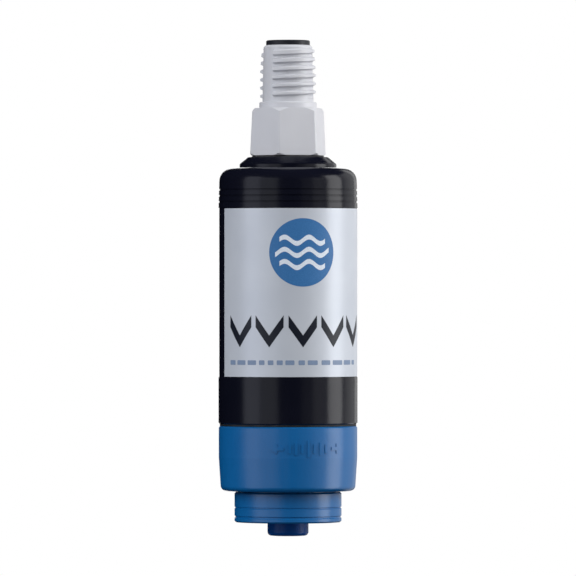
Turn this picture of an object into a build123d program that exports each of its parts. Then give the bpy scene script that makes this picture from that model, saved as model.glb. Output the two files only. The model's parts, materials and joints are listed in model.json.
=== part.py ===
"""Inline hollow-fibre water filter cartridge, in millimetres.

Frame: +Z is up, along the cartridge's axis. The origin is on the axis, on the top face of the
inlet fitting's hexagon, where the fitting seats against the wall or tank that it hangs from. The
nipple stands above it and everything else hangs below. The front of the printed sleeve faces -Y,
turned a little towards +X.

Flow: in through the nipple and strainer, down round the outside of the U-shaped hollow fibres,
through their walls, out of their cut ends at the foot of the potting, and out of the push-pull
nozzle.
"""

import os
from math import atan2, cos, degrees, pi, radians, sin, sqrt

from build123d import *

os.makedirs("parts", exist_ok=True)

# ---------------------------------------------------------------- driving dimensions
BODY_R = 25.4            # housing outside radius, a 2 inch cartridge
EMBED = 0.35             # how far a thread ridge is rooted in its core
PLAY = 0.18              # axial clearance of each thread flank

# inlet fitting
PILOT_R = 10.48          # unthreaded pilot at the nipple's root
PILOT_LEN = 2.2
NIPPLE_LEN = 23.0
NIPPLE_CREST_R = 10.44
NIPPLE_CORE_R = 9.35
NIPPLE_TAPER = 0.022     # radius that the core loses per millimetre of height
DRAW_IN = 0.074          # radius that the crests lose per millimetre above DRAW_IN_Z
DRAW_IN_Z = 13.0
INLET_BORE_R = 7.5
HEX_AF = 25.2            # at the hexagon's foot
HEX_DRAFT = 2.6          # degrees
HEX_LEN = 17.3
HEX_TURN = 16.5          # degrees about Z
SPIGOT_END_Z = -33.0
SPIGOT_CORE_R = 9.6
SPIGOT_CREST_R = 10.48
INLET_PITCH = 3.0

# push-in strainer in the nipple's mouth
STRAINER_TOP_Z = 24.8
STRAINER_LIP_R = 8.0
STRAINER_STEM_R = 7.4
STRAINER_BORE_R = 6.2
STRAINER_END_Z = 14.0

# inlet gasket
GASKET_TOP_Z = -17.35
GASKET_LEN = 1.5

# housing
COLLAR_SEAT_Z = -18.9    # where the inlet gasket lands, inside the collar's rim
COLLAR_SEAT_R = 13.4
COLLAR_TOP_Z = -17.9
COLLAR_TOP_R = 14.7
COLLAR_FOOT_R = 17.7
SHOULDER_Z = -21.7
SHOULDER_R = 25.0        # where the shoulder's two faces would meet; the wall then tapers out
SHOULDER_FILLET = 4.9
LABEL_TOP_Z = -36.5
LABEL_BOTTOM_Z = -98.2
LABEL_RECESS = 0.25
SLEEVE_GAP_AT = -84.0    # degrees from the front towards +X: where the sleeve's two ends face
SLEEVE_GAP = 36.0        # degrees left bare between them
HOUSING_END_Z = -115.3
PORT_CREST_R = 9.85
PORT_ROOT_R = 10.75
PORT_END_Z = -35.2
PORT_BOSS_R = 14.0
CAVITY_TOP_Z = -25.4
CAVITY_R = 22.0
MODULE_BORE_R = 22.65
MODULE_STEP_Z = -84.0
CAP_ROOT_R = 23.7

# end cap
CAP_R = 25.3
CAP_TOP_Z = -116.1
CAP_BOTTOM_Z = -139.8
CAP_SPIGOT_TOP_Z = -100.9
CAP_CORE_R = 22.35
CAP_CREST_R = 23.4
CAP_PITCH = 3.0
CHAMBER_R = 19.6
GUIDE_R = 6.45
GUIDE_TOP_Z = -133.2
COUNTERBORE_TOP_Z = -143.2
COUNTERBORE_R = 11.2
NUT_SPIGOT_END_Z = -148.8
NUT_CORE_R = 16.4
NUT_CREST_R = 17.2
NUT_PITCH = 2.5

# outlet nut
NUT_R = 19.55
NUT_TOP_Z = -140.2
NUT_BOTTOM_Z = -151.2
NUT_FLANGE_TOP_Z = -149.85
NUT_BORE_R = 16.65
NUT_ROOT_R = 17.45
NUT_HOLE_R = 7.8

# push-pull nozzle
TIP_R = 7.5
SHANK_R = 6.7
TIP_END_Z = -156.2
TIP_STEP_Z = -151.4
FLANGE_R = 10.9
FLANGE_TOP_Z = -143.6
FLANGE_BOTTOM_Z = -145.4
STEM_R = 6.35
STEM_TOP_Z = -133.7
NOZZLE_BORE_R = 3.6
ORIFICE_R = 2.5
ORIFICE_TOP_Z = -153.4
POST_R = 2.42

# membrane module
CUP_R = 22.4
CUP_BORE_R = 20.6
CUP_TOP_Z = -84.3
CUP_BOTTOM_Z = -100.3
POTTING_TOP_Z = -85.3
POTTING_BOTTOM_Z = -99.3
CAGE_R = 21.3
CAGE_WALL = 1.0
CAGE_TOP_Z = -38.0
FIBRE_R = 1.15
FIBRE_PITCH = 3.4
BEND_Z = -61.0


# ---------------------------------------------------------------- helpers
def thread(base_r, tip_r, base_w, tip_w, pitch, z_low, z_high, fade_low, fade_high):
    """A right-handed helical ridge between two heights, as a list of single turns.

    Every turn starts a whole number of pitches from z = 0, so a male and a female thread of one
    pitch are in phase wherever they start. Cones fade both ends of the ridge into its core.
    """
    with BuildPart() as beyond:
        for end, fade, outside in (
            (z_low, fade_low, z_low - 5 * pitch),
            (z_high, -fade_high, z_high + 5 * pitch),
        ):
            with BuildSketch(Plane.XZ):
                with BuildLine():
                    Polyline(
                        (0, outside),
                        (tip_r + 2.0, outside),
                        (tip_r + 2.0, end + fade),
                        (tip_r + 0.4, end + fade),
                        (base_r - 0.2, end),
                        (0, end),
                        close=True,
                    )
                make_face()
            revolve(axis=Axis.Z)
    turns = []
    for k in range(int(z_low // pitch) - 1, int(z_high // pitch) + 2):
        start = pitch * k
        with BuildPart() as turn:
            with BuildLine() as path:
                Helix(pitch=pitch, height=pitch, radius=(base_r + tip_r) / 2, center=(0, 0, start))
            with BuildSketch(Plane.XZ):
                with BuildLine():
                    Polyline(
                        (base_r, start - base_w / 2),
                        (tip_r, start - tip_w / 2),
                        (tip_r, start + tip_w / 2),
                        (base_r, start + base_w / 2),
                        close=True,
                    )
                make_face()
            sweep(path=path.line, is_frenet=True)
            if start - pitch < z_low + fade_low or start + 2 * pitch > z_high - fade_high:
                add(beyond.part, mode=Mode.SUBTRACT)
        turns += [piece for piece in turn.part.solids() if piece.volume > 0.02]
    return turns


def ring(inner, outer, z_low, z_high):
    """A plain flat ring, such as a gasket."""
    with BuildPart() as made:
        with BuildSketch(Plane.XY.offset(z_low)):
            Circle(outer)
            Circle(inner, mode=Mode.SUBTRACT)
        extrude(amount=z_high - z_low)
        fillet(made.edges().filter_by(GeomType.CIRCLE), 0.12)
    return made.part


def o_ring(centre_r, section_r, z):
    """A round-section seal ring."""
    with BuildPart() as made:
        with BuildSketch(Plane.XZ):
            with Locations((centre_r, z)):
                Circle(section_r)
        revolve(axis=Axis.Z)
    return made.part


def keep(part, name):
    part.label = name
    export_step(part, f"parts/{name}.step")


# ---------------------------------------------------------------- inlet adapter
# White fitting: a nipple with a pilot and a coarse thread left out on two opposite sides, a
# wrench hexagon, and a lower threaded spigot that the housing screws onto.
nipple_thread = thread(
    8.6, NIPPLE_CREST_R, 2.5, 0.75, INLET_PITCH, PILOT_LEN + 0.9, NIPPLE_LEN - 0.9, 1.0, 1.3
)
spigot_thread = thread(
    SPIGOT_CORE_R - EMBED, SPIGOT_CREST_R, 2.0, 0.75, INLET_PITCH, SPIGOT_END_Z + 0.5, -HEX_LEN - 1.8, 0.9, 0.9
)
GAP_HALF = 34.0          # half the angle of each unthreaded side of the nipple
GAP_CENTRES = (22.0, 202.0)

with BuildPart() as outside_lead:
    with BuildSketch(Plane.XZ):
        with BuildLine():
            Polyline(
                (NIPPLE_CREST_R + 2 * DRAW_IN, DRAW_IN_Z - 2),
                (NIPPLE_CREST_R - (NIPPLE_LEN + 4 - DRAW_IN_Z) * DRAW_IN, NIPPLE_LEN + 4),
                (NIPPLE_CREST_R + 4, NIPPLE_LEN + 4),
                (NIPPLE_CREST_R + 4, DRAW_IN_Z - 2),
                close=True,
            )
        make_face()
    revolve(axis=Axis.Z)

broken_thread = []
for turn in nipple_thread:
    with BuildPart() as arcs:
        add(turn)
        if turn.bounding_box().max.Z > DRAW_IN_Z:
            add(outside_lead.part, mode=Mode.SUBTRACT)
        for centre in GAP_CENTRES:
            with BuildSketch(Plane.XY.offset(PILOT_LEN - 2)):
                with BuildLine():
                    far = 16.0
                    Polyline(
                        (0, 0),
                        (far * cos(radians(centre - GAP_HALF)), far * sin(radians(centre - GAP_HALF))),
                        (far * 1.2 * cos(radians(centre)), far * 1.2 * sin(radians(centre))),
                        (far * cos(radians(centre + GAP_HALF)), far * sin(radians(centre + GAP_HALF))),
                        close=True,
                    )
                make_face()
            extrude(amount=NIPPLE_LEN + 4, mode=Mode.SUBTRACT)
    broken_thread += [piece for piece in arcs.part.solids() if piece.volume > 0.02]

with BuildPart() as hexagon:
    with BuildSketch(Plane.XY.offset(-HEX_LEN)):
        RegularPolygon(HEX_AF / 2, 6, major_radius=False, rotation=HEX_TURN)
    extrude(amount=HEX_LEN, taper=HEX_DRAFT)
    corners = hexagon.edges().filter_by(lambda e: abs((e @ 1 - e @ 0).Z) > HEX_LEN / 2)
    fillet(corners, 0.7)
    with BuildSketch(Plane.XZ):
        with BuildLine():
            Polyline(
                (0, -HEX_LEN),
                (13.5, -HEX_LEN),
                (14.3, -HEX_LEN + 0.7),
                (13.5, -1.2),
                (12.2, 0),
                (0, 0),
                close=True,
            )
        make_face()
    revolve(axis=Axis.Z, mode=Mode.INTERSECT)

with BuildPart() as inlet_adapter:
    add(hexagon.part)
    with BuildSketch(Plane.XZ):
        with BuildLine():
            Polyline(
                (5.0, -0.5),
                (PILOT_R, -0.5),
                (PILOT_R, PILOT_LEN - 0.3),
                (PILOT_R - 0.3, PILOT_LEN),
                (NIPPLE_CORE_R, PILOT_LEN),
                (NIPPLE_CORE_R - NIPPLE_TAPER * (NIPPLE_LEN - PILOT_LEN - 0.8), NIPPLE_LEN - 0.8),
                (8.15, NIPPLE_LEN),
                (5.0, NIPPLE_LEN),
                close=True,
            )
        make_face()
    revolve(axis=Axis.Z)
    with BuildSketch(Plane.XZ):
        with BuildLine():
            Polyline(
                (5.0, -HEX_LEN + 0.5),
                (SPIGOT_CORE_R, -HEX_LEN + 0.5),
                (SPIGOT_CORE_R, SPIGOT_END_Z + 0.6),
                (SPIGOT_CORE_R - 0.6, SPIGOT_END_Z),
                (5.0, SPIGOT_END_Z),
                close=True,
            )
        make_face()
    revolve(axis=Axis.Z)
    add(broken_thread)
    add(spigot_thread)
    # water passage
    with BuildSketch(Plane.XZ):
        with BuildLine():
            Polyline(
                (0, NIPPLE_LEN + 1),
                (INLET_BORE_R, NIPPLE_LEN + 1),
                (INLET_BORE_R, SPIGOT_END_Z + 0.6),
                (INLET_BORE_R + 1.6, SPIGOT_END_Z - 1),
                (0, SPIGOT_END_Z - 1),
                close=True,
            )
        make_face()
    revolve(axis=Axis.Z, mode=Mode.SUBTRACT)
keep(inlet_adapter.part, "inlet_adapter")

# ---------------------------------------------------------------- strainer
# Dark push-in sleeve with a lip that stands on the nipple's end, and a screen in its foot.
with BuildPart() as strainer_sleeve:
    with BuildSketch(Plane.XZ) as sleeve_section:
        with BuildLine():
            Polyline(
                (STRAINER_BORE_R, STRAINER_TOP_Z),
                (STRAINER_LIP_R, STRAINER_TOP_Z),
                (STRAINER_LIP_R, NIPPLE_LEN),
                (STRAINER_STEM_R, NIPPLE_LEN),
                (STRAINER_STEM_R, STRAINER_END_Z + 0.4),
                (STRAINER_STEM_R - 0.4, STRAINER_END_Z),
                (STRAINER_BORE_R, STRAINER_END_Z),
                (STRAINER_BORE_R, STRAINER_END_Z + 1.0),
                (STRAINER_BORE_R + 0.6, STRAINER_END_Z + 1.0),
                (STRAINER_BORE_R + 0.6, STRAINER_END_Z + 1.4),
                (STRAINER_BORE_R, STRAINER_END_Z + 1.4),
                close=True,
            )
        make_face()
        ends = sleeve_section.vertices()
        fillet(min(ends, key=lambda v: (v.X - STRAINER_LIP_R) ** 2 + (v.Y - STRAINER_TOP_Z) ** 2), 0.6)
        ends = sleeve_section.vertices()
        fillet(min(ends, key=lambda v: (v.X - STRAINER_BORE_R) ** 2 + (v.Y - STRAINER_TOP_Z) ** 2), 0.4)
    revolve(axis=Axis.Z)
keep(strainer_sleeve.part, "strainer_sleeve")

with BuildPart() as strainer_screen:
    with BuildSketch(Plane.XY.offset(STRAINER_END_Z + 1.05)):
        Circle(STRAINER_BORE_R + 0.55)
        with GridLocations(1.5, 1.5, 9, 9) as spots:
            inside = [p for p in spots.locations if sqrt(p.position.X**2 + p.position.Y**2) < 5.4]
        with Locations(*inside):
            Rectangle(0.95, 0.95, mode=Mode.SUBTRACT)
    extrude(amount=0.3)
keep(strainer_screen.part, "strainer_screen")

# ---------------------------------------------------------------- inlet gasket
inlet_gasket = ring(10.8, 13.1, GASKET_TOP_Z - GASKET_LEN, GASKET_TOP_Z)
keep(inlet_gasket, "inlet_gasket")

# ---------------------------------------------------------------- housing
# One black shell, open at the foot, with an internal boss for the inlet thread.
port_cut = thread(
    PORT_CREST_R - EMBED,
    PORT_ROOT_R,
    2.0 + 2 * PLAY,
    0.75 + 2 * PLAY,
    INLET_PITCH,
    PORT_END_Z - 3.0,
    COLLAR_SEAT_Z + 3.0,
    0.3,
    0.3,
)
foot_cut = thread(
    MODULE_BORE_R - EMBED,
    CAP_ROOT_R,
    2.1 + 2 * PLAY,
    0.85 + 2 * PLAY,
    CAP_PITCH,
    HOUSING_END_Z - 3.0,
    CAP_SPIGOT_TOP_Z - 0.6,
    0.3,
    1.2,
)
GROOVES = (-29.9, -32.1, -34.3)
GROOVE_D, GROOVE_W = 0.3, 0.55

with BuildPart() as housing:
    with BuildSketch(Plane.XZ) as housing_section:
        with BuildLine():
            pts = [
                (PORT_CREST_R + 0.5, COLLAR_SEAT_Z),
                (COLLAR_SEAT_R, COLLAR_SEAT_Z),
                (COLLAR_SEAT_R, COLLAR_TOP_Z - 0.2),
                (COLLAR_SEAT_R + 0.2, COLLAR_TOP_Z),
                (COLLAR_TOP_R, COLLAR_TOP_Z),
                (COLLAR_FOOT_R - 0.2, SHOULDER_Z + 1.5),
                (COLLAR_FOOT_R, SHOULDER_Z + 1.1),
                (COLLAR_FOOT_R, SHOULDER_Z),
                (SHOULDER_R, SHOULDER_Z - 0.4),
            ]
            taper = (BODY_R - SHOULDER_R) / (SHOULDER_Z - 0.4 - LABEL_TOP_Z)
            for z in GROOVES:
                wall = SHOULDER_R + taper * (SHOULDER_Z - 0.4 - z)
                pts += [
                    (wall - taper * GROOVE_W / 2, z + GROOVE_W / 2),
                    (wall - GROOVE_D, z + GROOVE_W / 4),
                    (wall - GROOVE_D, z - GROOVE_W / 4),
                    (wall + taper * GROOVE_W / 2, z - GROOVE_W / 2),
                ]
            pts += [
                (BODY_R, LABEL_TOP_Z),
                (BODY_R - LABEL_RECESS, LABEL_TOP_Z),
                (BODY_R - LABEL_RECESS, LABEL_BOTTOM_Z),
                (BODY_R, LABEL_BOTTOM_Z),
                (BODY_R, HOUSING_END_Z + 0.4),
                (BODY_R - 0.4, HOUSING_END_Z),
                (MODULE_BORE_R + 0.5, HOUSING_END_Z),
                (MODULE_BORE_R, HOUSING_END_Z + 0.5),
                (MODULE_BORE_R, MODULE_STEP_Z),
                (CAVITY_R, MODULE_STEP_Z + 0.65),
                (CAVITY_R, CAVITY_TOP_Z),
                (PORT_BOSS_R, CAVITY_TOP_Z),
                (PORT_BOSS_R - 0.4, PORT_END_Z),
                (PORT_CREST_R, PORT_END_Z),
                (PORT_CREST_R, COLLAR_SEAT_Z - 0.5),
            ]
            Polyline(*pts, close=True)
        make_face()
        corners = housing_section.vertices()

        def corner(x, z):
            return min(corners, key=lambda v: (v.X - x) ** 2 + (v.Y - z) ** 2)

        fillet(corner(SHOULDER_R, SHOULDER_Z - 0.4), SHOULDER_FILLET)
        corners = housing_section.vertices()
        fillet(corner(CAVITY_R, CAVITY_TOP_Z), 4.0)
        corners = housing_section.vertices()
        fillet(corner(PORT_BOSS_R, CAVITY_TOP_Z), 1.5)
        corners = housing_section.vertices()
        fillet(corner(COLLAR_TOP_R, COLLAR_TOP_Z), 0.5)
    revolve(axis=Axis.Z)
    add(port_cut, mode=Mode.SUBTRACT)
    add(foot_cut, mode=Mode.SUBTRACT)
keep(housing.part, "housing")

# ---------------------------------------------------------------- printed sleeve
with BuildPart() as label:
    with BuildSketch(Plane.XY.offset(LABEL_BOTTOM_Z + 0.25)):
        Circle(BODY_R - 0.09)
        Circle(BODY_R - LABEL_RECESS + 0.01, mode=Mode.SUBTRACT)
        with BuildLine():
            middle = radians(SLEEVE_GAP_AT - 90)
            spread = radians(SLEEVE_GAP / 2)
            Polyline(
                (0, 0),
                (40 * cos(middle - spread), 40 * sin(middle - spread)),
                (40 * cos(middle + spread), 40 * sin(middle + spread)),
                close=True,
            )
        make_face(mode=Mode.SUBTRACT)
    extrude(amount=LABEL_TOP_Z - LABEL_BOTTOM_Z - 0.5)
keep(label.part, "label")

# ---------------------------------------------------------------- membrane module
with BuildPart() as potting_cup:
    with BuildSketch(Plane.XZ):
        with BuildLine():
            Polyline(
                (CUP_BORE_R, CUP_TOP_Z),
                (CUP_R - 0.5, CUP_TOP_Z),
                (CUP_R, CUP_TOP_Z - 0.5),
                (CUP_R, -87.4),
                (CUP_R - 1.3, -87.4),
                (CUP_R - 1.3, -89.6),
                (CUP_R, -89.6),
                (CUP_R, -94.4),
                (CUP_R - 1.3, -94.4),
                (CUP_R - 1.3, -96.6),
                (CUP_R, -96.6),
                (CUP_R, CUP_BOTTOM_Z + 0.5),
                (CUP_R - 0.5, CUP_BOTTOM_Z),
                (CUP_BORE_R + 0.4, CUP_BOTTOM_Z),
                (CUP_BORE_R, CUP_BOTTOM_Z + 0.4),
                close=True,
            )
        make_face()
    revolve(axis=Axis.Z)
keep(potting_cup.part, "potting_cup")

keep(o_ring(21.87, 0.75, -88.5), "module_o_ring_upper")
keep(o_ring(21.87, 0.75, -95.5), "module_o_ring_lower")

# Nested U loops in parallel planes. Each leg ends level with the foot of the potting.
legs = []
rows = int(18.0 // FIBRE_PITCH)
for row in range(-rows, rows + 1):
    half = FIBRE_PITCH / 2
    while sqrt(half**2 + (row * FIBRE_PITCH) ** 2) < 19.0:
        legs.append((half, row * FIBRE_PITCH))
        half += FIBRE_PITCH

with BuildPart() as potting_block:
    with BuildSketch(Plane.XY.offset(POTTING_BOTTOM_Z)):
        Circle(CUP_BORE_R - 0.02)
        with Locations(*legs, *[(-x, y) for x, y in legs]):
            Circle(FIBRE_R + 0.02, mode=Mode.SUBTRACT)
    extrude(amount=POTTING_TOP_Z - POTTING_BOTTOM_Z)
keep(potting_block.part, "potting_block")

loops = []
for half, y in legs:
    with BuildPart() as loop:
        with BuildLine(Plane((0, y, 0), x_dir=(1, 0, 0), z_dir=(0, -1, 0))) as route:
            leg = Line((-half, POTTING_BOTTOM_Z), (-half, BEND_Z))
            bend = TangentArc(leg @ 1, (half, BEND_Z), tangent=leg % 1)
            Line(bend @ 1, (half, POTTING_BOTTOM_Z))
        with BuildSketch(Plane((-half, y, POTTING_BOTTOM_Z))):
            Circle(FIBRE_R)
        sweep(path=route.line)
    loops.append(loop.part.solid())
keep(Compound(children=loops), "fibre_bundle")

# Protective cage round the loops, with rows of windows and a pierced top.
with BuildPart() as fibre_cage:
    with BuildSketch(Plane.XY.offset(CUP_TOP_Z + 0.02)):
        Circle(CAGE_R)
    extrude(amount=CAGE_TOP_Z - CUP_TOP_Z - 0.02)
    fillet(fibre_cage.edges().filter_by(GeomType.CIRCLE).group_by(Axis.Z)[-1], 2.0)
    with BuildSketch(Plane.XY.offset(CUP_TOP_Z)):
        Circle(CAGE_R - CAGE_WALL)
    extrude(amount=CAGE_TOP_Z - CUP_TOP_Z - 1.4, mode=Mode.SUBTRACT)
    for z in (-76.5, -64.0, -51.5):
        with BuildSketch(Plane.XZ.offset(-CAGE_R - 2)):
            with Locations((0, z)):
                SlotOverall(9.0, 5.4, rotation=90)
        slot = extrude(amount=2 * (CAGE_R + 2), mode=Mode.PRIVATE)
        for i in range(6):
            add(slot.rotate(Axis.Z, i * 30), mode=Mode.SUBTRACT)
    with BuildSketch(Plane.XY.offset(CAGE_TOP_Z - 2)):
        Circle(2.2)
        with PolarLocations(7.5, 6):
            Circle(2.2)
        with PolarLocations(14.0, 12):
            Circle(2.2)
    extrude(amount=4, mode=Mode.SUBTRACT)
keep(fibre_cage.part, "fibre_cage")

# ---------------------------------------------------------------- end cap
keep(ring(23.75, 24.95, CAP_TOP_Z + 0.05, HOUSING_END_Z - 0.05), "end_cap_gasket")

cap_thread = thread(
    CAP_CORE_R - EMBED, CAP_CREST_R, 2.1, 0.85, CAP_PITCH, CAP_TOP_Z + 1.6, CAP_SPIGOT_TOP_Z - 0.8, 0.9, 1.2
)
nut_spigot_thread = thread(
    NUT_CORE_R - EMBED, NUT_CREST_R, 1.7, 0.65, NUT_PITCH, NUT_SPIGOT_END_Z + 0.5, CAP_BOTTOM_Z - 1.0, 0.8, 0.8
)

with BuildPart() as end_cap:
    with BuildSketch(Plane.XZ) as cap_section:
        with BuildLine():
            Polyline(
                # spigot, outside, downwards
                (CHAMBER_R + 0.4, CAP_SPIGOT_TOP_Z),
                (CAP_CORE_R - 0.6, CAP_SPIGOT_TOP_Z),
                (CAP_CORE_R, CAP_SPIGOT_TOP_Z - 0.6),
                (CAP_CORE_R, CAP_TOP_Z),
                (CAP_R - 0.5, CAP_TOP_Z),
                (CAP_R, CAP_TOP_Z - 0.5),
                (CAP_R, -127.5),
                (CAP_R - 0.8, CAP_BOTTOM_Z),
                # lower spigot for the outlet nut
                (NUT_CORE_R, CAP_BOTTOM_Z),
                (NUT_CORE_R, NUT_SPIGOT_END_Z + 0.5),
                (NUT_CORE_R - 0.5, NUT_SPIGOT_END_Z),
                (COUNTERBORE_R + 0.4, NUT_SPIGOT_END_Z),
                (COUNTERBORE_R, NUT_SPIGOT_END_Z + 0.4),
                (COUNTERBORE_R, COUNTERBORE_TOP_Z),
                (GUIDE_R + 0.3, COUNTERBORE_TOP_Z),
                (GUIDE_R, COUNTERBORE_TOP_Z + 0.3),
                (GUIDE_R, GUIDE_TOP_Z),
                # seat of the valve spider, on a boss
                (9.5, GUIDE_TOP_Z),
                (9.5, GUIDE_TOP_Z + 2.4),
                (11.5, GUIDE_TOP_Z + 2.4),
                # funnel floor and chamber wall
                (12.5, -136.4),
                (16.5, -136.4),
                (CHAMBER_R, -132.5),
                (CHAMBER_R, CAP_SPIGOT_TOP_Z - 0.4),
                close=True,
            )
        make_face()
        corners = cap_section.vertices()
        fillet(corner(CAP_R - 0.8, CAP_BOTTOM_Z), 2.0)
    revolve(axis=Axis.Z)
    # ribs inside the chamber
    with BuildSketch(Plane.XY.offset(-137.0)):
        with PolarLocations((CHAMBER_R + 12.0) / 2, 6, start_angle=30):
            Rectangle(CHAMBER_R - 12.0 + 1.6, 1.6)
    extrude(amount=137.0 + GUIDE_TOP_Z + 1.6)
    add(cap_thread)
    add(nut_spigot_thread)
keep(end_cap.part, "end_cap")

# ---------------------------------------------------------------- valve seat
# Spider with the fixed post that plugs the nozzle's orifice.
with BuildPart() as valve_seat:
    with BuildSketch(Plane.XY.offset(GUIDE_TOP_Z + 0.02)):
        Circle(9.45)
        Circle(7.7, mode=Mode.SUBTRACT)
    extrude(amount=2.2)
    with BuildSketch(Plane.XY.offset(GUIDE_TOP_Z + 0.42)):
        with PolarLocations(4.6, 3, start_angle=90):
            Rectangle(7.2, 1.5)
    extrude(amount=1.8)
    with BuildSketch(Plane.XZ) as post_section:
        with BuildLine():
            Polyline(
                (0, GUIDE_TOP_Z + 3.0),
                (1.6, GUIDE_TOP_Z + 3.0),
                (POST_R, GUIDE_TOP_Z + 2.2),
                (POST_R, -154.7),
                (POST_R - 0.9, -155.6),
                (0, -155.6),
                close=True,
            )
        make_face()
    revolve(axis=Axis.Z)
keep(valve_seat.part, "valve_seat")

# ---------------------------------------------------------------- outlet nut and its washer
keep(ring(11.5, 16.2, NUT_FLANGE_TOP_Z + 0.05, NUT_SPIGOT_END_Z - 0.05), "outlet_gasket")

nut_cut = thread(
    NUT_BORE_R - EMBED,
    NUT_ROOT_R,
    1.7 + 2 * 0.16,
    0.65 + 2 * 0.16,
    NUT_PITCH,
    NUT_SPIGOT_END_Z - 0.7,
    NUT_TOP_Z + 3.0,
    0.6,
    0.3,
)
with BuildPart() as outlet_nut:
    with BuildSketch(Plane.XZ) as nut_section:
        with BuildLine():
            Polyline(
                (NUT_HOLE_R, NUT_BOTTOM_Z + 0.3),
                (NUT_HOLE_R + 0.3, NUT_BOTTOM_Z),
                (NUT_R - 0.5, NUT_BOTTOM_Z),
                (NUT_R, NUT_BOTTOM_Z + 0.5),
                (NUT_R, -149.7),
                (NUT_R - 0.35, -149.45),
                (NUT_R - 0.35, -149.05),
                (NUT_R, -148.8),
                (NUT_R, -146.2),
                (NUT_R - 0.3, -146.0),
                (NUT_R - 0.3, -145.7),
                (NUT_R, -145.5),
                (NUT_R, NUT_TOP_Z - 0.5),
                (NUT_R - 0.5, NUT_TOP_Z),
                (NUT_BORE_R + 0.5, NUT_TOP_Z),
                (NUT_BORE_R, NUT_TOP_Z - 0.5),
                (NUT_BORE_R, NUT_FLANGE_TOP_Z),
                (NUT_HOLE_R, NUT_FLANGE_TOP_Z),
                close=True,
            )
        make_face()
    revolve(axis=Axis.Z)
    add(nut_cut, mode=Mode.SUBTRACT)
keep(outlet_nut.part, "outlet_nut")

# ---------------------------------------------------------------- push-pull nozzle
with BuildPart() as outlet_nozzle:
    with BuildSketch(Plane.XZ) as nozzle_section:
        with BuildLine():
            Polyline(
                (NOZZLE_BORE_R + 0.4, STEM_TOP_Z),
                (STEM_R - 0.4, STEM_TOP_Z),
                (STEM_R, STEM_TOP_Z - 0.4),
                (STEM_R, -134.7),
                (STEM_R - 1.0, -134.7),
                (STEM_R - 1.0, -136.0),
                (STEM_R, -136.0),
                (STEM_R, -137.0),
                (STEM_R - 1.0, -137.0),
                (STEM_R - 1.0, -138.3),
                (STEM_R, -138.3),
                (STEM_R, FLANGE_TOP_Z),
                (FLANGE_R, FLANGE_TOP_Z),
                (FLANGE_R, FLANGE_BOTTOM_Z),
                (SHANK_R, FLANGE_BOTTOM_Z),
                (SHANK_R, TIP_STEP_Z),
                (TIP_R, TIP_STEP_Z),
                (TIP_R, TIP_END_Z),
                (ORIFICE_R + 0.5, TIP_END_Z),
                (ORIFICE_R, TIP_END_Z + 0.5),
                (ORIFICE_R, ORIFICE_TOP_Z),
                (NOZZLE_BORE_R, ORIFICE_TOP_Z + 1.0),
                (NOZZLE_BORE_R, STEM_TOP_Z - 0.4),
                close=True,
            )
        make_face()
        corners = nozzle_section.vertices()
        fillet(corner(TIP_R, TIP_END_Z), 1.5)
        corners = nozzle_section.vertices()
        fillet(corner(FLANGE_R, FLANGE_TOP_Z), 0.3)
        corners = nozzle_section.vertices()
        fillet(corner(FLANGE_R, FLANGE_BOTTOM_Z), 0.3)
    revolve(axis=Axis.Z)
keep(outlet_nozzle.part, "outlet_nozzle")

keep(o_ring(STEM_R - 1.0 + 0.53, 0.5, -135.35), "nozzle_o_ring_upper")
keep(o_ring(STEM_R - 1.0 + 0.53, 0.5, -137.65), "nozzle_o_ring_lower")
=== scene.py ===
"""Looks of the inline water filter cartridge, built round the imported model. Lengths in metres."""

import json
import math
import random

import bmesh
import bpy
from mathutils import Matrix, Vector
from mathutils.geometry import tessellate_polygon


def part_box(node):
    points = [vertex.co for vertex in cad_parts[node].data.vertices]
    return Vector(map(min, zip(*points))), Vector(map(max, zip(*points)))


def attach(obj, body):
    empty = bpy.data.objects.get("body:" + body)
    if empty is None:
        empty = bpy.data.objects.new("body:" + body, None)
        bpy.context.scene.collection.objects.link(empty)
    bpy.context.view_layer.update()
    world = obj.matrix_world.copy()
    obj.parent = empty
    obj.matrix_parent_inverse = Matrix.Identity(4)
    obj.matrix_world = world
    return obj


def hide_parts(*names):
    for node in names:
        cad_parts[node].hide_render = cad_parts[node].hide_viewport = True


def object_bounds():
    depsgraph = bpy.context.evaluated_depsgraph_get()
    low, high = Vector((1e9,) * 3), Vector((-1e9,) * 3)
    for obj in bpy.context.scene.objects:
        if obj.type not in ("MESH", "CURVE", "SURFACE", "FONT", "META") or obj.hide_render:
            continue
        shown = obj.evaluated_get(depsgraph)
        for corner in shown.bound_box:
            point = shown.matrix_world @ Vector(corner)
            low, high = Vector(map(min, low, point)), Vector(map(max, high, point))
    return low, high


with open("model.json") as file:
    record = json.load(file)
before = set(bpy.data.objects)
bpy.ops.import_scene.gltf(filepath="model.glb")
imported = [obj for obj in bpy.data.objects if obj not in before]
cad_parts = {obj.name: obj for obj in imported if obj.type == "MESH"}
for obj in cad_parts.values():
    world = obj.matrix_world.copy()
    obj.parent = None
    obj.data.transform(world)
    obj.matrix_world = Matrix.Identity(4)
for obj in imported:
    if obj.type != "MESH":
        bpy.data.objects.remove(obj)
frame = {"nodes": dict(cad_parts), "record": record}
CAD_BOX = [list(v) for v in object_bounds()]
NODES = frame["nodes"]
MM = 0.001


# ------------------------------------------------------------------ camera, world, lights, floor
def place_camera():
    lo, hi = (Vector(v) for v in CAD_BOX)
    centre = (lo + hi) / 2
    away, lift = 2.6, 0.0
    data = bpy.data.cameras.new("camera")
    data.sensor_width = 36.0
    data.lens = away * 36.0 / 0.2105
    data.clip_start, data.clip_end = 0.05, 20.0
    data.dof.use_dof = False
    cam = bpy.data.objects.new("camera", data)
    cam.location = centre + Vector((0, -away * math.cos(lift), away * math.sin(lift)))
    cam.rotation_euler = (centre - cam.location).to_track_quat("-Z", "Y").to_euler()
    bpy.context.collection.objects.link(cam)
    bpy.context.scene.camera = cam


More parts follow.
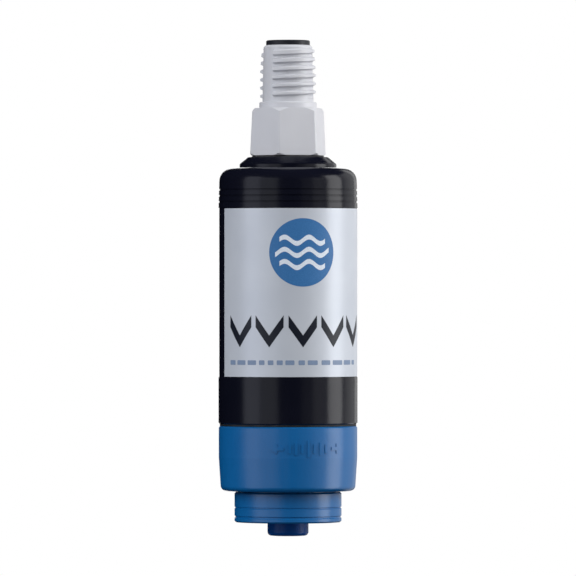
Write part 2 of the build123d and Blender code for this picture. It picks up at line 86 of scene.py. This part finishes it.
def make_world():
    """White to the camera. To matt surfaces it is a soft dome, brighter overhead; glossy ones
    reflect only the soft boxes."""
    world = bpy.data.worlds.new("studio")
    bpy.context.scene.world = world
    world.use_nodes = True
    world.cycles_visibility.glossy = False
    t = world.node_tree
    t.nodes.clear()
    out = t.nodes.new("ShaderNodeOutputWorld")
    coords = t.nodes.new("ShaderNodeTexCoord")
    split = t.nodes.new("ShaderNodeSeparateXYZ")
    ramp = t.nodes.new("ShaderNodeValToRGB")
    ramp.color_ramp.interpolation = "EASE"
    ramp.color_ramp.elements[0].position = 0.40
    ramp.color_ramp.elements[0].color = (0.16, 0.165, 0.18, 1)
    ramp.color_ramp.elements[1].position = 0.80
    ramp.color_ramp.elements[1].color = (1.0, 1.0, 1.0, 1)
    to_one = t.nodes.new("ShaderNodeMapRange")
    to_one.inputs["From Min"].default_value = -1.0
    to_one.inputs["From Max"].default_value = 1.0
    surroundings = t.nodes.new("ShaderNodeBackground")
    surroundings.inputs["Strength"].default_value = 0.72
    seen = t.nodes.new("ShaderNodeBackground")
    seen.inputs["Color"].default_value = (1, 1, 1, 1)
    path = t.nodes.new("ShaderNodeLightPath")
    mix = t.nodes.new("ShaderNodeMixShader")
    t.links.new(coords.outputs["Generated"], split.inputs[0])
    t.links.new(split.outputs["Z"], to_one.inputs["Value"])
    t.links.new(to_one.outputs[0], ramp.inputs[0])
    t.links.new(ramp.outputs[0], surroundings.inputs["Color"])
    t.links.new(path.outputs["Is Camera Ray"], mix.inputs[0])
    t.links.new(surroundings.outputs[0], mix.inputs[1])
    t.links.new(seen.outputs[0], mix.inputs[2])
    t.links.new(mix.outputs[0], out.inputs[0])


def area_light(name, at, aim, width, height, watts, colour=(1, 1, 1), mirrored=True):
    data = bpy.data.lights.new(name, "AREA")
    data.shape = "RECTANGLE"
    data.size, data.size_y = width, height
    data.energy = watts
    data.color = colour
    light = bpy.data.objects.new(name, data)
    light.location = at
    light.rotation_euler = (Vector(aim) - Vector(at)).to_track_quat("-Z", "Y").to_euler()
    light.visible_glossy = mirrored
    bpy.context.collection.objects.link(light)


def make_stage():
    scene = bpy.context.scene
    scene.view_settings.view_transform = "Standard"
    scene.view_settings.look = "None"
    scene.view_settings.exposure = 0.0
    scene.view_settings.gamma = 1.0
    mid = (0, 0, -0.066)
    # (name, azimuth from the camera towards +X, elevation, distance, width, height, radiance,
    #  tint, seen in reflections)
    for name, az, el, away, wide, tall, radiance, tint, mirrored in (
        ("strip_right", 85, 0, 0.90, 0.50, 1.3, 2.2, (1, 1, 1), True),
        ("side_right", 124, 0, 1.00, 0.60, 1.3, 0.55, (1, 1, 1), True),
        ("rim_right", 153, 0, 1.00, 0.30, 1.3, 0.80, (1, 1, 1), True),
        ("front_right", 52, 0, 1.30, 0.50, 1.2, 0.34, (1, 1, 1), True),
        ("front_right_dim", 31, 0, 1.40, 0.40, 1.2, 0.10, (1, 1, 1), True),
        ("panel_left", -62, 0, 1.10, 0.62, 1.3, 0.74, (0.90, 0.93, 1.05), True),
        ("panel_left_dim", -31, 0, 1.40, 0.70, 1.3, 0.42, (0.93, 0.96, 1.0), True),
        ("back_strip", 180, 0, 1.20, 0.34, 1.2, 2.2, (1, 1, 1), True),
        ("key_right", 80, 32, 1.20, 0.9, 0.7, 4.6, (1, 1, 1), False),
        ("fill_left", -50, 31, 1.30, 0.9, 0.8, 3.6, (0.95, 0.97, 1.0), False),
        ("fill_front", 4, 30, 1.40, 0.9, 0.8, 0.2, (1, 1, 1), False),
        ("fill_back", 180, 45, 1.30, 1.2, 0.7, 1.5, (1, 1, 1), False),
    ):
        a, e = math.radians(az), math.radians(el)
        at = Vector((math.sin(a) * math.cos(e), -math.cos(a) * math.cos(e), math.sin(e))) * away + Vector(mid)
        # an area light of this power and size has this radiance
        area_light(name, at, mid, wide, tall, radiance * math.pi * wide * tall, tint, mirrored)

    bm = bmesh.new()
    bmesh.ops.create_circle(bm, cap_ends=True, cap_tris=False, segments=96, radius=0.56)
    mesh = bpy.data.meshes.new("floor")
    bm.to_mesh(mesh)
    bm.free()
    floor = bpy.data.objects.new("floor", mesh)
    floor.location = (0, 0, -0.20)
    bpy.context.collection.objects.link(floor)
    mat = bpy.data.materials.new("floor")
    mat.use_nodes = True
    t = mat.node_tree
    t.nodes.clear()
    out = t.nodes.new("ShaderNodeOutputMaterial")
    mix = t.nodes.new("ShaderNodeMixShader")
    clear = t.nodes.new("ShaderNodeBsdfTransparent")
    paint = t.nodes.new("ShaderNodeBsdfDiffuse")
    paint.inputs["Color"].default_value = (0.60, 0.60, 0.605, 1)
    coords = t.nodes.new("ShaderNodeTexCoord")
    length = t.nodes.new("ShaderNodeVectorMath")
    length.operation = "LENGTH"
    ramp = t.nodes.new("ShaderNodeMapRange")
    ramp.interpolation_type = "SMOOTHSTEP"
    ramp.inputs["From Min"].default_value = 0.22
    ramp.inputs["From Max"].default_value = 0.55
    t.links.new(coords.outputs["Object"], length.inputs[0])
    t.links.new(length.outputs["Value"], ramp.inputs["Value"])
    t.links.new(ramp.outputs[0], mix.inputs[0])
    t.links.new(paint.outputs[0], mix.inputs[1])
    t.links.new(clear.outputs[0], mix.inputs[2])
    t.links.new(mix.outputs[0], out.inputs[0])
    floor.data.materials.append(mat)
    floor.visible_diffuse = False
    floor.visible_glossy = False


# ------------------------------------------------------------------ materials
def new_material(name):
    mat = bpy.data.materials.new(name)
    mat.use_nodes = True
    t = mat.node_tree
    bsdf = t.nodes["Principled BSDF"]
    coords = t.nodes.new("ShaderNodeTexCoord")
    return mat, t, bsdf, coords


def noise(t, coords, scale, detail=4.0, rough=0.55, stretch=None):
    node = t.nodes.new("ShaderNodeTexNoise")
    node.inputs["Scale"].default_value = scale
    node.inputs["Detail"].default_value = detail
    node.inputs["Roughness"].default_value = rough
    if stretch:
        mapping = t.nodes.new("ShaderNodeMapping")
        mapping.inputs["Scale"].default_value = stretch
        t.links.new(coords.outputs["Object"], mapping.inputs["Vector"])
        t.links.new(mapping.outputs[0], node.inputs["Vector"])
    else:
        t.links.new(coords.outputs["Object"], node.inputs["Vector"])
    return node.outputs[0]


def remap(t, value, a, b, c, d):
    node = t.nodes.new("ShaderNodeMapRange")
    node.inputs["From Min"].default_value = a
    node.inputs["From Max"].default_value = b
    node.inputs["To Min"].default_value = c
    node.inputs["To Max"].default_value = d
    t.links.new(value, node.inputs["Value"])
    return node.outputs[0]


def blend_colour(t, factor, one, two):
    node = t.nodes.new("ShaderNodeMix")
    node.data_type = "RGBA"
    node.inputs["A"].default_value = (*one, 1)
    node.inputs["B"].default_value = (*two, 1)
    t.links.new(factor, node.inputs["Factor"])
    return node.outputs["Result"]


def bump(t, heights, bsdf):
    """heights: [(value socket, strength, distance)], chained."""
    last = None
    for value, strength, distance in heights:
        node = t.nodes.new("ShaderNodeBump")
        node.inputs["Strength"].default_value = strength
        node.inputs["Distance"].default_value = distance
        t.links.new(value, node.inputs["Height"])
        if last is not None:
            t.links.new(last, node.inputs["Normal"])
        last = node.outputs[0]
    t.links.new(last, bsdf.inputs["Normal"])


def moulded(name, colour, shade, rough=(0.2, 0.3), coat=0.0, grain=0.25, subsurface=0.0, specular=0.5):
    """Injection-moulded plastic: faint cloudy colour, uneven gloss, orange peel and hairline rubs."""
    mat, t, bsdf, coords = new_material(name)
    cloud = noise(t, coords, 38.0, 3.0)
    t.links.new(blend_colour(t, remap(t, cloud, 0.3, 0.7, 0, 1), colour, shade), bsdf.inputs["Base Color"])
    handled = noise(t, coords, 120.0, 5.0, 0.6)
    rubs = noise(t, coords, 420.0, 2.0, 0.5, (1.0, 1.0, 0.05))
    both = t.nodes.new("ShaderNodeMath")
    both.operation = "ADD"
    t.links.new(remap(t, handled, 0.3, 0.75, rough[0], rough[1]), both.inputs[0])
    t.links.new(remap(t, rubs, 0.55, 0.8, 0.0, 0.05), both.inputs[1])
    t.links.new(both.outputs[0], bsdf.inputs["Roughness"])
    peel = noise(t, coords, 900.0, 2.0, 0.5)
    wave = noise(t, coords, 90.0, 1.0, 0.5)
    bump(t, [(wave, 0.12, 0.0004), (peel, grain, 0.00006)], bsdf)
    bsdf.inputs["Specular IOR Level"].default_value = specular
    bsdf.inputs["Coat Weight"].default_value = coat
    bsdf.inputs["Coat Roughness"].default_value = 0.12
    if subsurface:
        bsdf.inputs["Subsurface Weight"].default_value = subsurface
        bsdf.inputs["Subsurface Radius"].default_value = (1.0, 0.9, 0.8)
        bsdf.inputs["Subsurface Scale"].default_value = 0.002
    return mat


def rubber(name, colour=(0.012, 0.012, 0.013)):
    mat, t, bsdf, coords = new_material(name)
    bloom = noise(t, coords, 210.0, 5.0, 0.6)
    pale = tuple(c + 0.025 for c in colour)
    t.links.new(blend_colour(t, remap(t, bloom, 0.45, 0.8, 0, 1), colour, pale), bsdf.inputs["Base Color"])
    t.links.new(remap(t, bloom, 0.2, 0.8, 0.55, 0.78), bsdf.inputs["Roughness"])
    bump(t, [(noise(t, coords, 1800.0, 3.0), 0.35, 0.00005)], bsdf)
    return mat


def steel(name):
    mat, t, bsdf, coords = new_material(name)
    drawn = noise(t, coords, 1500.0, 3.0, 0.6)
    t.links.new(
        blend_colour(t, drawn, (0.46, 0.46, 0.47), (0.64, 0.64, 0.65)), bsdf.inputs["Base Color"]
    )
    t.links.new(remap(t, drawn, 0.2, 0.8, 0.22, 0.4), bsdf.inputs["Roughness"])
    bsdf.inputs["Metallic"].default_value = 1.0
    bump(t, [(drawn, 0.2, 0.00003)], bsdf)
    return mat


def sleeve_film(name):
    """Silvery white printed film: fine fibre, a faint sheen and slightly uneven gloss."""
    mat, t, bsdf, coords = new_material(name)
    broad = noise(t, coords, 55.0, 3.0, 0.5)
    t.links.new(
        blend_colour(t, remap(t, broad, 0.3, 0.7, 0, 1), (0.565, 0.60, 0.665), (0.605, 0.64, 0.70)),
        bsdf.inputs["Base Color"],
    )
    fibre = noise(t, coords, 700.0, 4.0, 0.6, (1.0, 1.0, 0.35))
    t.links.new(remap(t, fibre, 0.25, 0.75, 0.30, 0.44), bsdf.inputs["Roughness"])
    bsdf.inputs["Metallic"].default_value = 0.26
    bump(t, [(broad, 0.06, 0.0005), (fibre, 0.25, 0.00004)], bsdf)
    return mat


def ink(name, colour, rough=0.38):
    mat, t, bsdf, coords = new_material(name)
    dots = noise(t, coords, 2600.0, 2.0, 0.5)
    pale = tuple(min(1.0, c * 1.18 + 0.004) for c in colour)
    t.links.new(blend_colour(t, remap(t, dots, 0.4, 0.75, 0, 1), colour, pale), bsdf.inputs["Base Color"])
    t.links.new(remap(t, dots, 0.2, 0.8, rough - 0.06, rough + 0.06), bsdf.inputs["Roughness"])
    bump(t, [(dots, 0.15, 0.00002)], bsdf)
    return mat


def resin(name):
    mat, t, bsdf, coords = new_material(name)
    cloud = noise(t, coords, 160.0, 4.0)
    t.links.new(blend_colour(t, cloud, (0.60, 0.44, 0.22), (0.74, 0.62, 0.40)), bsdf.inputs["Base Color"])
    t.links.new(remap(t, cloud, 0.2, 0.8, 0.16, 0.34), bsdf.inputs["Roughness"])
    bsdf.inputs["Subsurface Weight"].default_value = 0.25
    bsdf.inputs["Subsurface Scale"].default_value = 0.003
    bump(t, [(noise(t, coords, 500.0, 3.0), 0.2, 0.0001)], bsdf)
    return mat


def fibre_skin(name):
    mat, t, bsdf, coords = new_material(name)
    tone = noise(t, coords, 300.0, 4.0)
    t.links.new(blend_colour(t, tone, (0.74, 0.73, 0.70), (0.88, 0.87, 0.85)), bsdf.inputs["Base Color"])
    t.links.new(remap(t, tone, 0.2, 0.8, 0.5, 0.72), bsdf.inputs["Roughness"])
    bsdf.inputs["Subsurface Weight"].default_value = 0.15
    bsdf.inputs["Subsurface Scale"].default_value = 0.001
    bump(t, [(noise(t, coords, 2500.0, 3.0), 0.3, 0.00004)], bsdf)
    return mat


MATS = {
    "housing_black": moulded("housing_black", (0.0035, 0.0040, 0.0090), (0.0050, 0.0056, 0.0118), (0.185, 0.222)),
    "cap_blue": moulded("cap_blue", (0.0007, 0.100, 0.300), (0.0010, 0.112, 0.330), (0.28, 0.33), specular=0.85),
    # painted shade: the nozzle's blue is the cap's blue made darker, standing in for the shadow the nozzle sits in
    "nozzle_blue": moulded("nozzle_blue", (0.0002, 0.056, 0.26), (0.0004, 0.062, 0.29), (0.29, 0.38), specular=0.2),
    "fitting_white": moulded(
        "fitting_white", (0.52, 0.525, 0.56), (0.57, 0.575, 0.61), (0.30, 0.40), subsurface=0.12, specular=1.0
    ),
    "sleeve_silver": sleeve_film("sleeve_silver"),
    "seal_rubber": rubber("seal_rubber"),
    "screen_steel": steel("screen_steel"),
    "strainer_black": moulded("strainer_black", (0.010, 0.011, 0.016), (0.014, 0.015, 0.021), (0.35, 0.48)),
    "ring_white": moulded("ring_white", (0.72, 0.72, 0.72), (0.78, 0.78, 0.77), (0.4, 0.5), subsurface=0.1),
    "fibre_white": fibre_skin("fibre_white"),
    "cage_grey": moulded("cage_grey", (0.33, 0.35, 0.38), (0.38, 0.40, 0.43), (0.38, 0.5)),
    "cup_blue": moulded("cup_blue", (0.03, 0.11, 0.24), (0.04, 0.13, 0.27), (0.3, 0.42)),
    "potting_amber": resin("potting_amber"),
}


def dress(obj, mat):
    obj.data.materials.clear()
    obj.data.materials.append(mat)


def dress_cad():
    slots = {s["node"]: s["material_slot"] for s in frame["record"]["subparts"]}
    for name, obj in NODES.items():
        dress(obj, MATS[slots[name]])


# ------------------------------------------------------------------ wrapped print and raised marks
def fill(outer, holes=()):
    """Triangles of a flat outline in (u, v) millimetres: points and index triples."""
    rings = [[Vector((u, v, 0)) for u, v in ring] for ring in (outer, *holes)]
    points = [p for ring in rings for p in ring]
    return points, [tuple(t) for t in tessellate_polygon(rings)]


def wrapped(name, shapes, low, high, mat, body, step=0.9, taper=0.0):
    """Flat shapes bent round the axis as closed thin solids between two radii, in millimetres.

    u runs round the surface from the front towards +X, and v is the height.
    """
    bm = bmesh.new()
    for outer, holes in shapes:
        points, triangles = fill(outer, holes)
        verts = [bm.verts.new(p) for p in points]
        for t in triangles:
            try:
                bm.faces.new([verts[i] for i in t])
            except ValueError:
                pass
    bmesh.ops.remove_doubles(bm, verts=bm.verts, dist=1e-4)
    us = [v.co.x for v in bm.verts]
    u = math.ceil(min(us) / step) * step
    while u < max(us):
        bmesh.ops.bisect_plane(
            bm, geom=bm.verts[:] + bm.edges[:] + bm.faces[:], dist=1e-5, plane_co=(u, 0, 0), plane_no=(1, 0, 0)
        )
        u += step
    bmesh.ops.recalc_face_normals(bm, faces=bm.faces)
    for f in bm.faces:
        if f.normal.z < 0:
            f.normal_flip()
    grown = bmesh.ops.extrude_face_region(bm, geom=bm.faces[:], use_keep_orig=True)
    raised = [g for g in grown["geom"] if isinstance(g, bmesh.types.BMVert)]
    for v in raised:
        v.co.z = 1.0
    bmesh.ops.recalc_face_normals(bm, faces=bm.faces)
    for v in bm.verts:
        r = low + (high - low) * v.co.z
        angle = v.co.x / low
        z = v.co.y
        if taper:
            r -= taper * max(0.0, -127.5 - z)
        v.co = Vector((r * math.sin(angle), -r * math.cos(angle), z)) * MM
    mesh = bpy.data.meshes.new(name)
    bm.to_mesh(mesh)
    bm.free()
    obj = bpy.data.objects.new(name, mesh)
    bpy.context.collection.objects.link(obj)
    dress(obj, mat)
    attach(obj, body)
    return obj


def disc(u, v, r, n=72):
    return [(u + r * math.cos(2 * math.pi * i / n), v + r * math.sin(2 * math.pi * i / n)) for i in range(n)]


def bar(u0, v0, u1, v1, r=0.0, n=6):
    """A rectangle with rounded corners."""
    if r <= 0:
        return [(u0, v0), (u1, v0), (u1, v1), (u0, v1)]
    out = []
    for cu, cv, start in ((u1 - r, v1 - r, 0), (u0 + r, v1 - r, 90), (u0 + r, v0 + r, 180), (u1 - r, v0 + r, 270)):
        for i in range(n + 1):
            a = math.radians(start + 90 * i / n)
            out.append((cu + r * math.cos(a), cv + r * math.sin(a)))
    return out


def chevron(u, top, width, height, stroke):
    """A V that points down."""
    h = width / 2
    return [
        (u - h, top),
        (u - h, top - stroke),
        (u, top - height),
        (u + h, top - stroke),
        (u + h, top),
        (u, top - height + stroke),
    ]


def wave(u, v, half, lift, thick, n=48, clip=None):
    """A wavy band. The clip argument is not used."""
    top, bottom = [], []
    for i in range(n + 1):
        x = -half + 2 * half * i / n
        y = lift * math.sin(2 * math.pi * x / 9.0)
        top.append((u + x, v + y + thick / 2))
        bottom.append((u + x, v + y - thick / 2))
    return top + bottom[::-1]


def arrow(u, v, length, width, head, way=1):
    """A straight arrow along u."""
    pts = [
        (0, -width / 2),
        (length - head, -width / 2),
        (length - head, -head * 0.62),
        (length, 0),
        (length - head, head * 0.62),
        (length - head, width / 2),
        (0, width / 2),
    ]
    return [(u + way * x, v + y) for x, y in pts]


FILM_R = 25.31
CENTRE_U = 5.5


def make_print():
    """The printed sleeve's art, all of it plain geometric: a badge with waves, a row of flow
    chevrons, a broken rule, and at the back a flow diagram and a row of tick boxes."""
    low, high, upper = FILM_R - 0.01, FILM_R + 0.03, FILM_R + 0.045
    blue = ink("ink_blue", (0.030, 0.135, 0.33))
    dark = ink("ink_dark", (0.006, 0.008, 0.016))
    pale = ink("ink_pale", (0.62, 0.67, 0.74))
    grey = ink("ink_grey", (0.17, 0.23, 0.34))
    badge_v = -52.8
    wrapped("badge", [(disc(CENTRE_U, badge_v, 12.4, 96), ())], low, high, blue, "housing")
    bands = []
    for v, half in ((4.4, 8.6), (0.0, 10.2), (-4.4, 8.6)):
        bands.append((wave(CENTRE_U, badge_v + v, half, 1.15, 1.75), ()))
    wrapped("badge_waves", bands, high - 0.005, upper, pale, "housing")

    marks = [(chevron(CENTRE_U + (i - 2) * 12.4, -75.6, 10.6, 11.6, 4.3), ()) for i in range(5)]
    wrapped("flow_chevrons", marks, low, high, dark, "housing")

    rng = random.Random(7)
    dashes, u = [], CENTRE_U - 30.0
    while u < CENTRE_U + 27.0:
        length = rng.uniform(2.0, 5.0)
        dashes.append((bar(u, -93.6, u + length, -91.9, 0.3), ()))
        u += length + rng.uniform(0.9, 1.6)
    wrapped("broken_rule", dashes, low, high, grey, "housing")

    # back: frame with a flow diagram, a row of tick boxes and plain rules
    back = CENTRE_U + math.pi * FILM_R - 2.0
    frame_out = bar(back - 17, -60.5, back + 17, -42.0, 1.2)
    frame_in = bar(back - 16.5, -60.0, back + 16.5, -42.5, 0.9)[::-1]
    art = [(frame_out, (frame_in,))]
    art.append((arrow(back - 15.0, -51.2, 6.5, 1.1, 2.4), ()))
    for i in range(4):
        art.append((bar(back - 5.6 + 3.0 * i, -56.8, back - 4.4 + 3.0 * i, -45.7, 0.5), ()))
    art.append((arrow(back + 8.3, -51.2, 6.5, 1.1, 2.4), ()))
    for row in range(2):
        for i in range(6):
            u0, v0 = back - 16.6 + 5.7 * i, -70.6 - 6.0 * row
            art.append((bar(u0, v0, u0 + 4.7, v0 + 4.7, 0.4), (bar(u0 + 0.4, v0 + 0.4, u0 + 4.3, v0 + 4.3, 0.2)[::-1],)))
    for i, length in enumerate((34.0, 34.0, 26.0, 34.0, 18.0)):
        v0 = -81.2 - 2.5 * i
        art.append((bar(back - 17, v0, back - 17 + length, v0 + 0.55, 0.1), ()))
    wrapped("back_panel", art, low, high, grey, "housing")
    wrapped(
        "back_stripe", [(bar(back - 17, -41.0, back + 17, -39.4, 0.3), ())], low, high, blue, "housing"
    )


def make_marks():
    """Raised moulded marks on the end cap: a graduated row between two flow arrows, in front and
    at the back."""
    mat = MATS["cap_blue"]
    low, high = 25.2, 25.55
    for name, mid in (("cap_marks", 7.6), ("cap_marks_back", 7.6 + math.pi * low)):
        marks = []
        for i in range(7):
            tall = 6.2 if i == 3 else (3.4, 4.6)[i % 2]
            u = mid + (i - 3) * 2.3
            marks.append((bar(u - 0.5, -124.0 - tall / 2, u + 0.5, -124.0 + tall / 2, 0.3), ()))
        marks.append((arrow(mid - 9.2, -124.0, 5.2, 1.2, 2.9, -1), ()))
        marks.append((arrow(mid + 9.2, -124.0, 5.2, 1.2, 2.9, 1), ()))
        obj = wrapped(name, marks, low, high, mat, "end_cap", step=0.6)
        round_off = obj.modifiers.new("round_off", "BEVEL")
        round_off.width = 0.00016
        round_off.segments = 3
        round_off.limit_method = "ANGLE"
        round_off.angle_limit = math.radians(40)


# ------------------------------------------------------------------ tubes: mesh wires and fibres
def tubes(name, paths, radius, sides, mat, body, close_ends=True, bore=0.0):
    """Round tubes along paths of points (in millimetres), in one mesh."""
    bm = bmesh.new()
    for path in paths:
        pts = [Vector(p) for p in path]
        rings = []
        side = None
        for i, p in enumerate(pts):
            ahead = (pts[min(i + 1, len(pts) - 1)] - pts[max(i - 1, 0)]).normalized()
            if side is None:
                side = ahead.orthogonal().normalized()
            side = (side - ahead * side.dot(ahead)).normalized()
            up = ahead.cross(side)
            rings.append(
                [
                    bm.verts.new(
                        (
                            p
                            + radius * math.cos(2 * math.pi * k / sides) * side
                            + radius * math.sin(2 * math.pi * k / sides) * up
                        )
                        * MM
                    )
                    for k in range(sides)
                ]
            )
        for a, b in zip(rings, rings[1:]):
            for k in range(sides):
                bm.faces.new((a[k], a[(k + 1) % sides], b[(k + 1) % sides], b[k]))
        if close_ends and not bore:
            bm.faces.new(rings[0][::-1])
            bm.faces.new(rings[-1])
        if bore:
            for ring, p, q in ((rings[0], pts[0], pts[1]), (rings[-1], pts[-1], pts[-2])):
                depth = (q - p).normalized() * 1.2
                lip = [bm.verts.new((Vector(v.co) / MM * 0 + (p + (Vector(v.co) / MM - p) * bore)) * MM) for v in ring]
                foot = [bm.verts.new(Vector(v.co) + depth * MM) for v in lip]
                for k in range(sides):
                    j = (k + 1) % sides
                    bm.faces.new((ring[k], ring[j], lip[j], lip[k]))
                    bm.faces.new((lip[k], lip[j], foot[j], foot[k]))
                bm.faces.new(foot)
    bmesh.ops.recalc_face_normals(bm, faces=bm.faces)
    for f in bm.faces:
        f.smooth = len(f.verts) == 4
    mesh = bpy.data.meshes.new(name)
    bm.to_mesh(mesh)
    bm.free()
    obj = bpy.data.objects.new(name, mesh)
    bpy.context.collection.objects.link(obj)
    dress(obj, mat)
    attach(obj, body)
    return obj


def make_screen():
    """Plain-weave wire cloth in the strainer, in place of the pierced disc."""
    lo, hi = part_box("strainer_screen")
    z = (lo.z + hi.z) / 2 / MM
    r = (hi.x - lo.x) / 2 / MM - 0.12
    pitch, wire, lift = 0.72, 0.10, 0.085
    count = int(r // pitch)
    paths = []
    for way in (0, 1):
        for i in range(-count, count + 1):
            off = i * pitch
            half = math.sqrt(max(0.0, r * r - off * off))
            if half < pitch:
                continue
            steps = max(6, int(half * 2 / pitch * 4))
            path = []
            for k in range(steps + 1):
                s = -half + 2 * half * k / steps
                h = lift * math.cos(math.pi * (s / pitch + i)) * (1 if way else -1)
                path.append((s, off, z + h) if way == 0 else (off, s, z + h))
            paths.append(path)
    screen = tubes("wire_cloth", paths, wire, 6, MATS["screen_steel"], "adapter")
    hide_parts("strainer_screen")


def make_fibres():
    """Several hundred fine hollow fibres, bent into U loops, in place of the thick loops."""
    lo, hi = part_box("fibre_bundle")
    foot = lo.z / MM
    rng = random.Random(11)
    bend = -61.0
    spots = []
    tries = 0
    while len(spots) < 250 and tries < 20000:
        tries += 1
        x, y = rng.uniform(0.8, 18.6), rng.uniform(-18.2, 18.2)
        if math.hypot(x, y) > 18.4:
            continue
        if all(math.hypot(x - a, y - b) > 1.22 for a, b in spots):
            spots.append((x, y))
    paths = []
    for x, y in spots:
        lean = rng.uniform(-0.25, 0.25)
        rise = bend + rng.uniform(-0.6, 0.6)
        path = [(-x, y, foot + h) for h in (0.0, 6.0, 15.0)]
        path += [(-x, y + lean * 0.5, (foot + 15 + rise) / 2), (-x, y + lean, rise)]
        for k in range(1, 14):
            a = math.pi * k / 14
            path.append((-x * math.cos(a), y + lean, rise + x * math.sin(a)))
        path += [(x, y + lean, rise), (x, y + lean * 0.5, (foot + 15 + rise) / 2)]
        path += [(x, y, foot + h) for h in (15.0, 6.0, 0.0)]
        paths.append(path)
    fibres = tubes("fibres", paths, 0.46, 7, MATS["fibre_white"], "housing", bore=0.55)
    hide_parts("fibre_bundle")
    return spots, foot


def make_potting(spots, foot):
    """The resin block that the fibres are cast in, its cut face a little uneven."""
    lo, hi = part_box("potting_block")
    r = (hi.x - lo.x) / 2 / MM
    top = hi.z / MM
    rng = random.Random(3)
    bm = bmesh.new()
    n, m = 96, 14
    under, over = [], []
    for j in range(1, m + 1):
        rr = r * j / m
        wick = 0.55 * max(0.0, (j - m + 2) / 2) ** 2
        under.append(
            [
                bm.verts.new(
                    Vector((rr * math.cos(2 * math.pi * i / n), rr * math.sin(2 * math.pi * i / n), foot + 0.03 * rng.random()))
                    * MM
                )
                for i in range(n)
            ]
        )
        over.append(
            [
                bm.verts.new(
                    Vector(
                        (
                            rr * math.cos(2 * math.pi * i / n),
                            rr * math.sin(2 * math.pi * i / n),
                            top - 0.6 + wick + 0.05 * rng.random(),
                        )
                    )
                    * MM
                )
                for i in range(n)
            ]
        )
    low_c = bm.verts.new((0, 0, foot * MM))
    top_c = bm.verts.new((0, 0, (top - 0.6) * MM))
    for i in range(n):
        j = (i + 1) % n
        bm.faces.new((low_c, under[0][j], under[0][i]))
        bm.faces.new((top_c, over[0][i], over[0][j]))
        for a, b in zip(under, under[1:]):
            bm.faces.new((a[i], a[j], b[j], b[i]))
        for a, b in zip(over, over[1:]):
            bm.faces.new((a[i], b[i], b[j], a[j]))
        bm.faces.new((under[-1][i], under[-1][j], over[-1][j], over[-1][i]))
    bmesh.ops.recalc_face_normals(bm, faces=bm.faces)
    for f in bm.faces:
        f.smooth = True
    mesh = bpy.data.meshes.new("potting")
    bm.to_mesh(mesh)
    bm.free()
    obj = bpy.data.objects.new("potting", mesh)
    bpy.context.collection.objects.link(obj)
    dress(obj, MATS["potting_amber"])
    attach(obj, "housing")
    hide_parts("potting_block")


place_camera()
make_world()
make_stage()
dress_cad()
make_print()
make_marks()
make_screen()
spots, foot = make_fibres()
make_potting(spots, foot)
